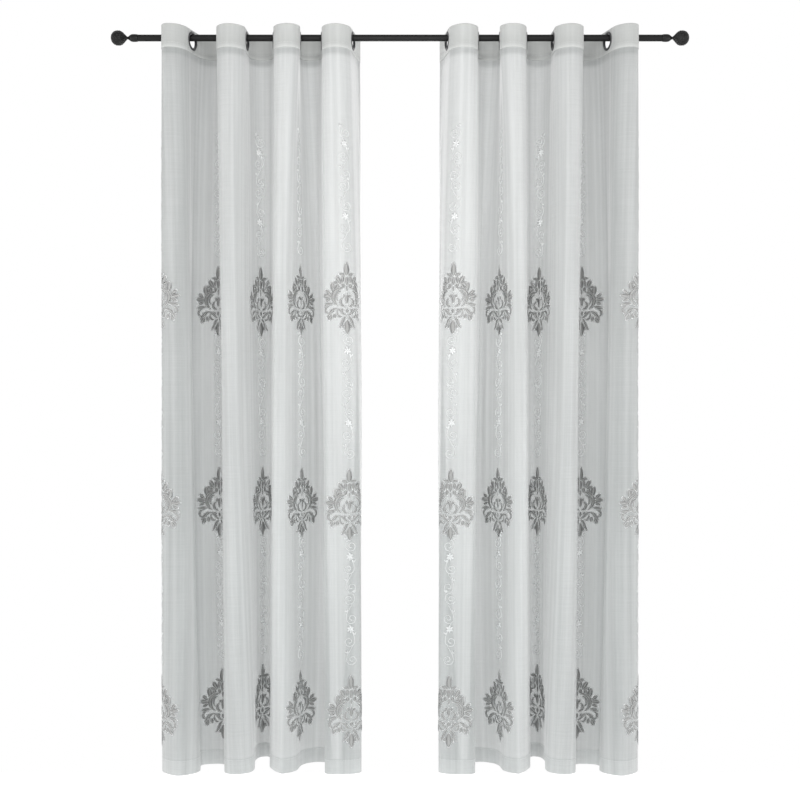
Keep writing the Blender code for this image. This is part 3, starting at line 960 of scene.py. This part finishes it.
def make_rod(materials):
    """Plain round rod with small edge rounds."""
    end = ROD_HALF_LENGTH
    outline = [(-end, 0.0), (-end, ROD_RADIUS - 0.0006), (-end + 0.0006, ROD_RADIUS)]
    outline += [(x, ROD_RADIUS) for x in np.linspace(-end + 0.06, end - 0.06, 12)]
    outline += [(end - 0.0006, ROD_RADIUS), (end, ROD_RADIUS - 0.0006), (end, 0.0)]
    rod = turned_piece("rod", outline, 72, materials["rod"], (0.0, 0.0, 0.0), 0.0)
    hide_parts("curtain_rod")
    return rod


def ball_mesh(way):
    """Points and faces of the ball: rows of points with a raised tip in each diamond."""
    facets = BALL_FACETS
    rows = len(BALL_PROFILE)
    points = [(way * (ROD_HALF_LENGTH + BALL_START), 0.0, 0.0)]

    def add_point(x, radius, angle):
        points.append((way * (ROD_HALF_LENGTH + x), radius * math.cos(angle),
                       radius * math.sin(angle)))
        return len(points) - 1

    def index(row, facet):
        return 1 + row * facets + facet % facets

    for row, (x, radius) in enumerate(BALL_PROFILE):
        for facet in range(facets):
            add_point(x, radius, 2.0 * math.pi * (facet + 0.5 * (row % 2)) / facets)
    last_point = add_point(BALL_END, 0.0, 0.0)
    faces = []
    for facet in range(facets):
        faces.append((0, index(0, facet), index(0, facet + 1)))
        faces.append((last_point, index(rows - 1, facet + 1), index(rows - 1, facet)))
    for row in range(1, rows - 1):
        x, radius = BALL_PROFILE[row]
        tip_radius = 0.5 * (radius + radius * math.cos(math.pi / facets)) + DIAMOND_RISE
        half_step = row % 2
        for facet in range(facets):
            left = index(row, facet)
            right = index(row, facet + 1)
            before = index(row - 1, facet + half_step)
            after = index(row + 1, facet + half_step)
            angle = 2.0 * math.pi * (facet + 0.5 + 0.5 * half_step) / facets
            tip = add_point(x, tip_radius, angle)
            faces += [(left, before, tip), (before, right, tip), (right, after, tip),
                      (after, left, tip)]
    for row, inner in ((0, 1), (rows - 1, rows - 2)):
        for facet in range(facets):
            faces.append((index(row, facet), index(row, facet + 1),
                          index(inner, facet + row % 2)))
    return points, faces


def make_knob(side_name, way, materials):
    """Collar and neck turned smooth, and a ball cut all over in small diamond facets."""
    collar_outline = [
        (0.0003, 0.0), (0.0003, 0.0097), (0.0012, 0.0101), (0.0040, 0.0106), (0.0080, 0.0109),
        (0.0140, 0.0109), (0.0180, 0.0104), (0.0212, 0.0092), (0.0238, 0.0074),
        (0.0260, 0.0056), (0.0276, 0.0043), (0.0290, 0.0040), (0.0312, 0.0040),
        (0.0325, 0.0046), (0.0335, 0.0),
    ]
    outline = [(way * (ROD_HALF_LENGTH + x), r) for x, r in collar_outline]
    collar = turned_piece("knob_collar_" + side_name, outline, 48, materials["knob"],
                          (0.0, 0.0, 0.0), 0.0)

    points, faces = ball_mesh(way)
    ball = new_piece("knob_ball_" + side_name, points, faces, materials["knob"], smooth=False)
    face_outwards(ball)
    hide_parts("finial_" + side_name)
    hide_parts("finial_" + side_name)


def make_stage():
    size = FLOOR_HALF_WIDTH
    mesh = bpy.data.meshes.new("floor")
    mesh.from_pydata([(-size, -size, FLOOR_HEIGHT), (size, -size, FLOOR_HEIGHT),
                      (size, FLOOR_BACK_EDGE, FLOOR_HEIGHT),
                      (-size, FLOOR_BACK_EDGE, FLOOR_HEIGHT)], [], [(0, 1, 2, 3)])
    material, tree, shader = new_material("floor_pale")
    shader.inputs["Base Color"].default_value = (0.30, 0.30, 0.30, 1.0)
    shader.inputs["Roughness"].default_value = 1.0
    shader.inputs["Specular IOR Level"].default_value = 0.0
    shader.inputs["Emission Color"].default_value = (1.0, 1.0, 1.0, 1.0)
    shader.inputs["Emission Strength"].default_value = 0.95
    mesh.materials.append(material)
    floor = bpy.data.objects.new("floor", mesh)
    bpy.context.scene.collection.objects.link(floor)


def add_area_light(name, place, target, size, power, colour):
    light = bpy.data.lights.new(name, "AREA")
    light.shape = "RECTANGLE"
    light.size, light.size_y = size
    light.energy = power
    light.color = colour
    lamp = bpy.data.objects.new(name, light)
    lamp.visible_camera = False
    lamp.location = place
    lamp.rotation_euler = (Vector(target) - Vector(place)).to_track_quat("-Z", "Y").to_euler()
    bpy.context.scene.collection.objects.link(lamp)


def make_light():
    world = bpy.data.worlds.new("studio")
    bpy.context.scene.world = world
    world.use_nodes = True
    tree = world.node_tree
    background = tree.nodes["Background"]
    background.inputs["Color"].default_value = (1.0, 1.0, 1.0, 1.0)
    rays = tree.nodes.new("ShaderNodeLightPath")
    seen = rays.outputs["Is Camera Ray"]
    sheer = math_node(tree, "MINIMUM", rays.outputs["Transparent Depth"], 1.0)
    towards = tree.nodes.new("ShaderNodeSeparateXYZ")
    tree.links.new(add_node(tree, "ShaderNodeTexCoord").outputs["Generated"],
                   towards.inputs["Vector"])
    sideways = math_node(tree, "ABSOLUTE", towards.outputs["X"], 0.0)
    veiled = ramp(tree, sideways, 0.105, 0.180, VEILED_MIDDLE, VEILED_EDGE)
    bare = math_node(tree, "SUBTRACT", 1.0, sheer)
    behind = math_node(tree, "ADD", bare, math_node(tree, "MULTIPLY", sheer, veiled))
    backdrop = math_node(tree, "MULTIPLY", seen, behind)
    around = ramp(tree, seen, 0.0, 1.0, AROUND_STRENGTH, 0.0)
    tree.links.new(math_node(tree, "ADD", backdrop, around), background.inputs["Strength"])
    for lamp in LAMPS:
        add_area_light(*lamp)


def make_camera():
    camera = bpy.data.cameras.new("camera")
    camera.sensor_width = CAMERA_SENSOR
    camera.lens = CAMERA_LENS
    camera.clip_end = 100.0
    eye = bpy.data.objects.new("camera", camera)
    eye.location = CAMERA_PLACE
    eye.rotation_euler = (math.radians(90.0), 0.0, 0.0)
    bpy.context.scene.collection.objects.link(eye)
    bpy.context.scene.camera = eye


def main():
    make_camera()
    make_light()
    make_stage()
    scene = bpy.context.scene
    scene.view_settings.view_transform = "Standard"
    scene.cycles.transparent_max_bounces = 40
    materials = make_materials()
    drape = Drape()
    make_rod(materials)
    make_knob("left", -1.0, materials)
    make_knob("right", 1.0, materials)
    for side_name, mirror in (("left", 1.0), ("right", -1.0)):
        cloth = hang_cloth(side_name, mirror, drape, materials["voile"])
        side_hems = hang_side_hems(side_name, mirror, drape, materials["hem"])
        band = hang_band(side_name, mirror, drape, materials["band"])
        embroidery = make_embroidery(side_name, mirror, drape, materials)
        stitches = make_stitches(side_name, mirror, drape, materials)
        rings = make_rings(side_name, mirror, materials)


main()
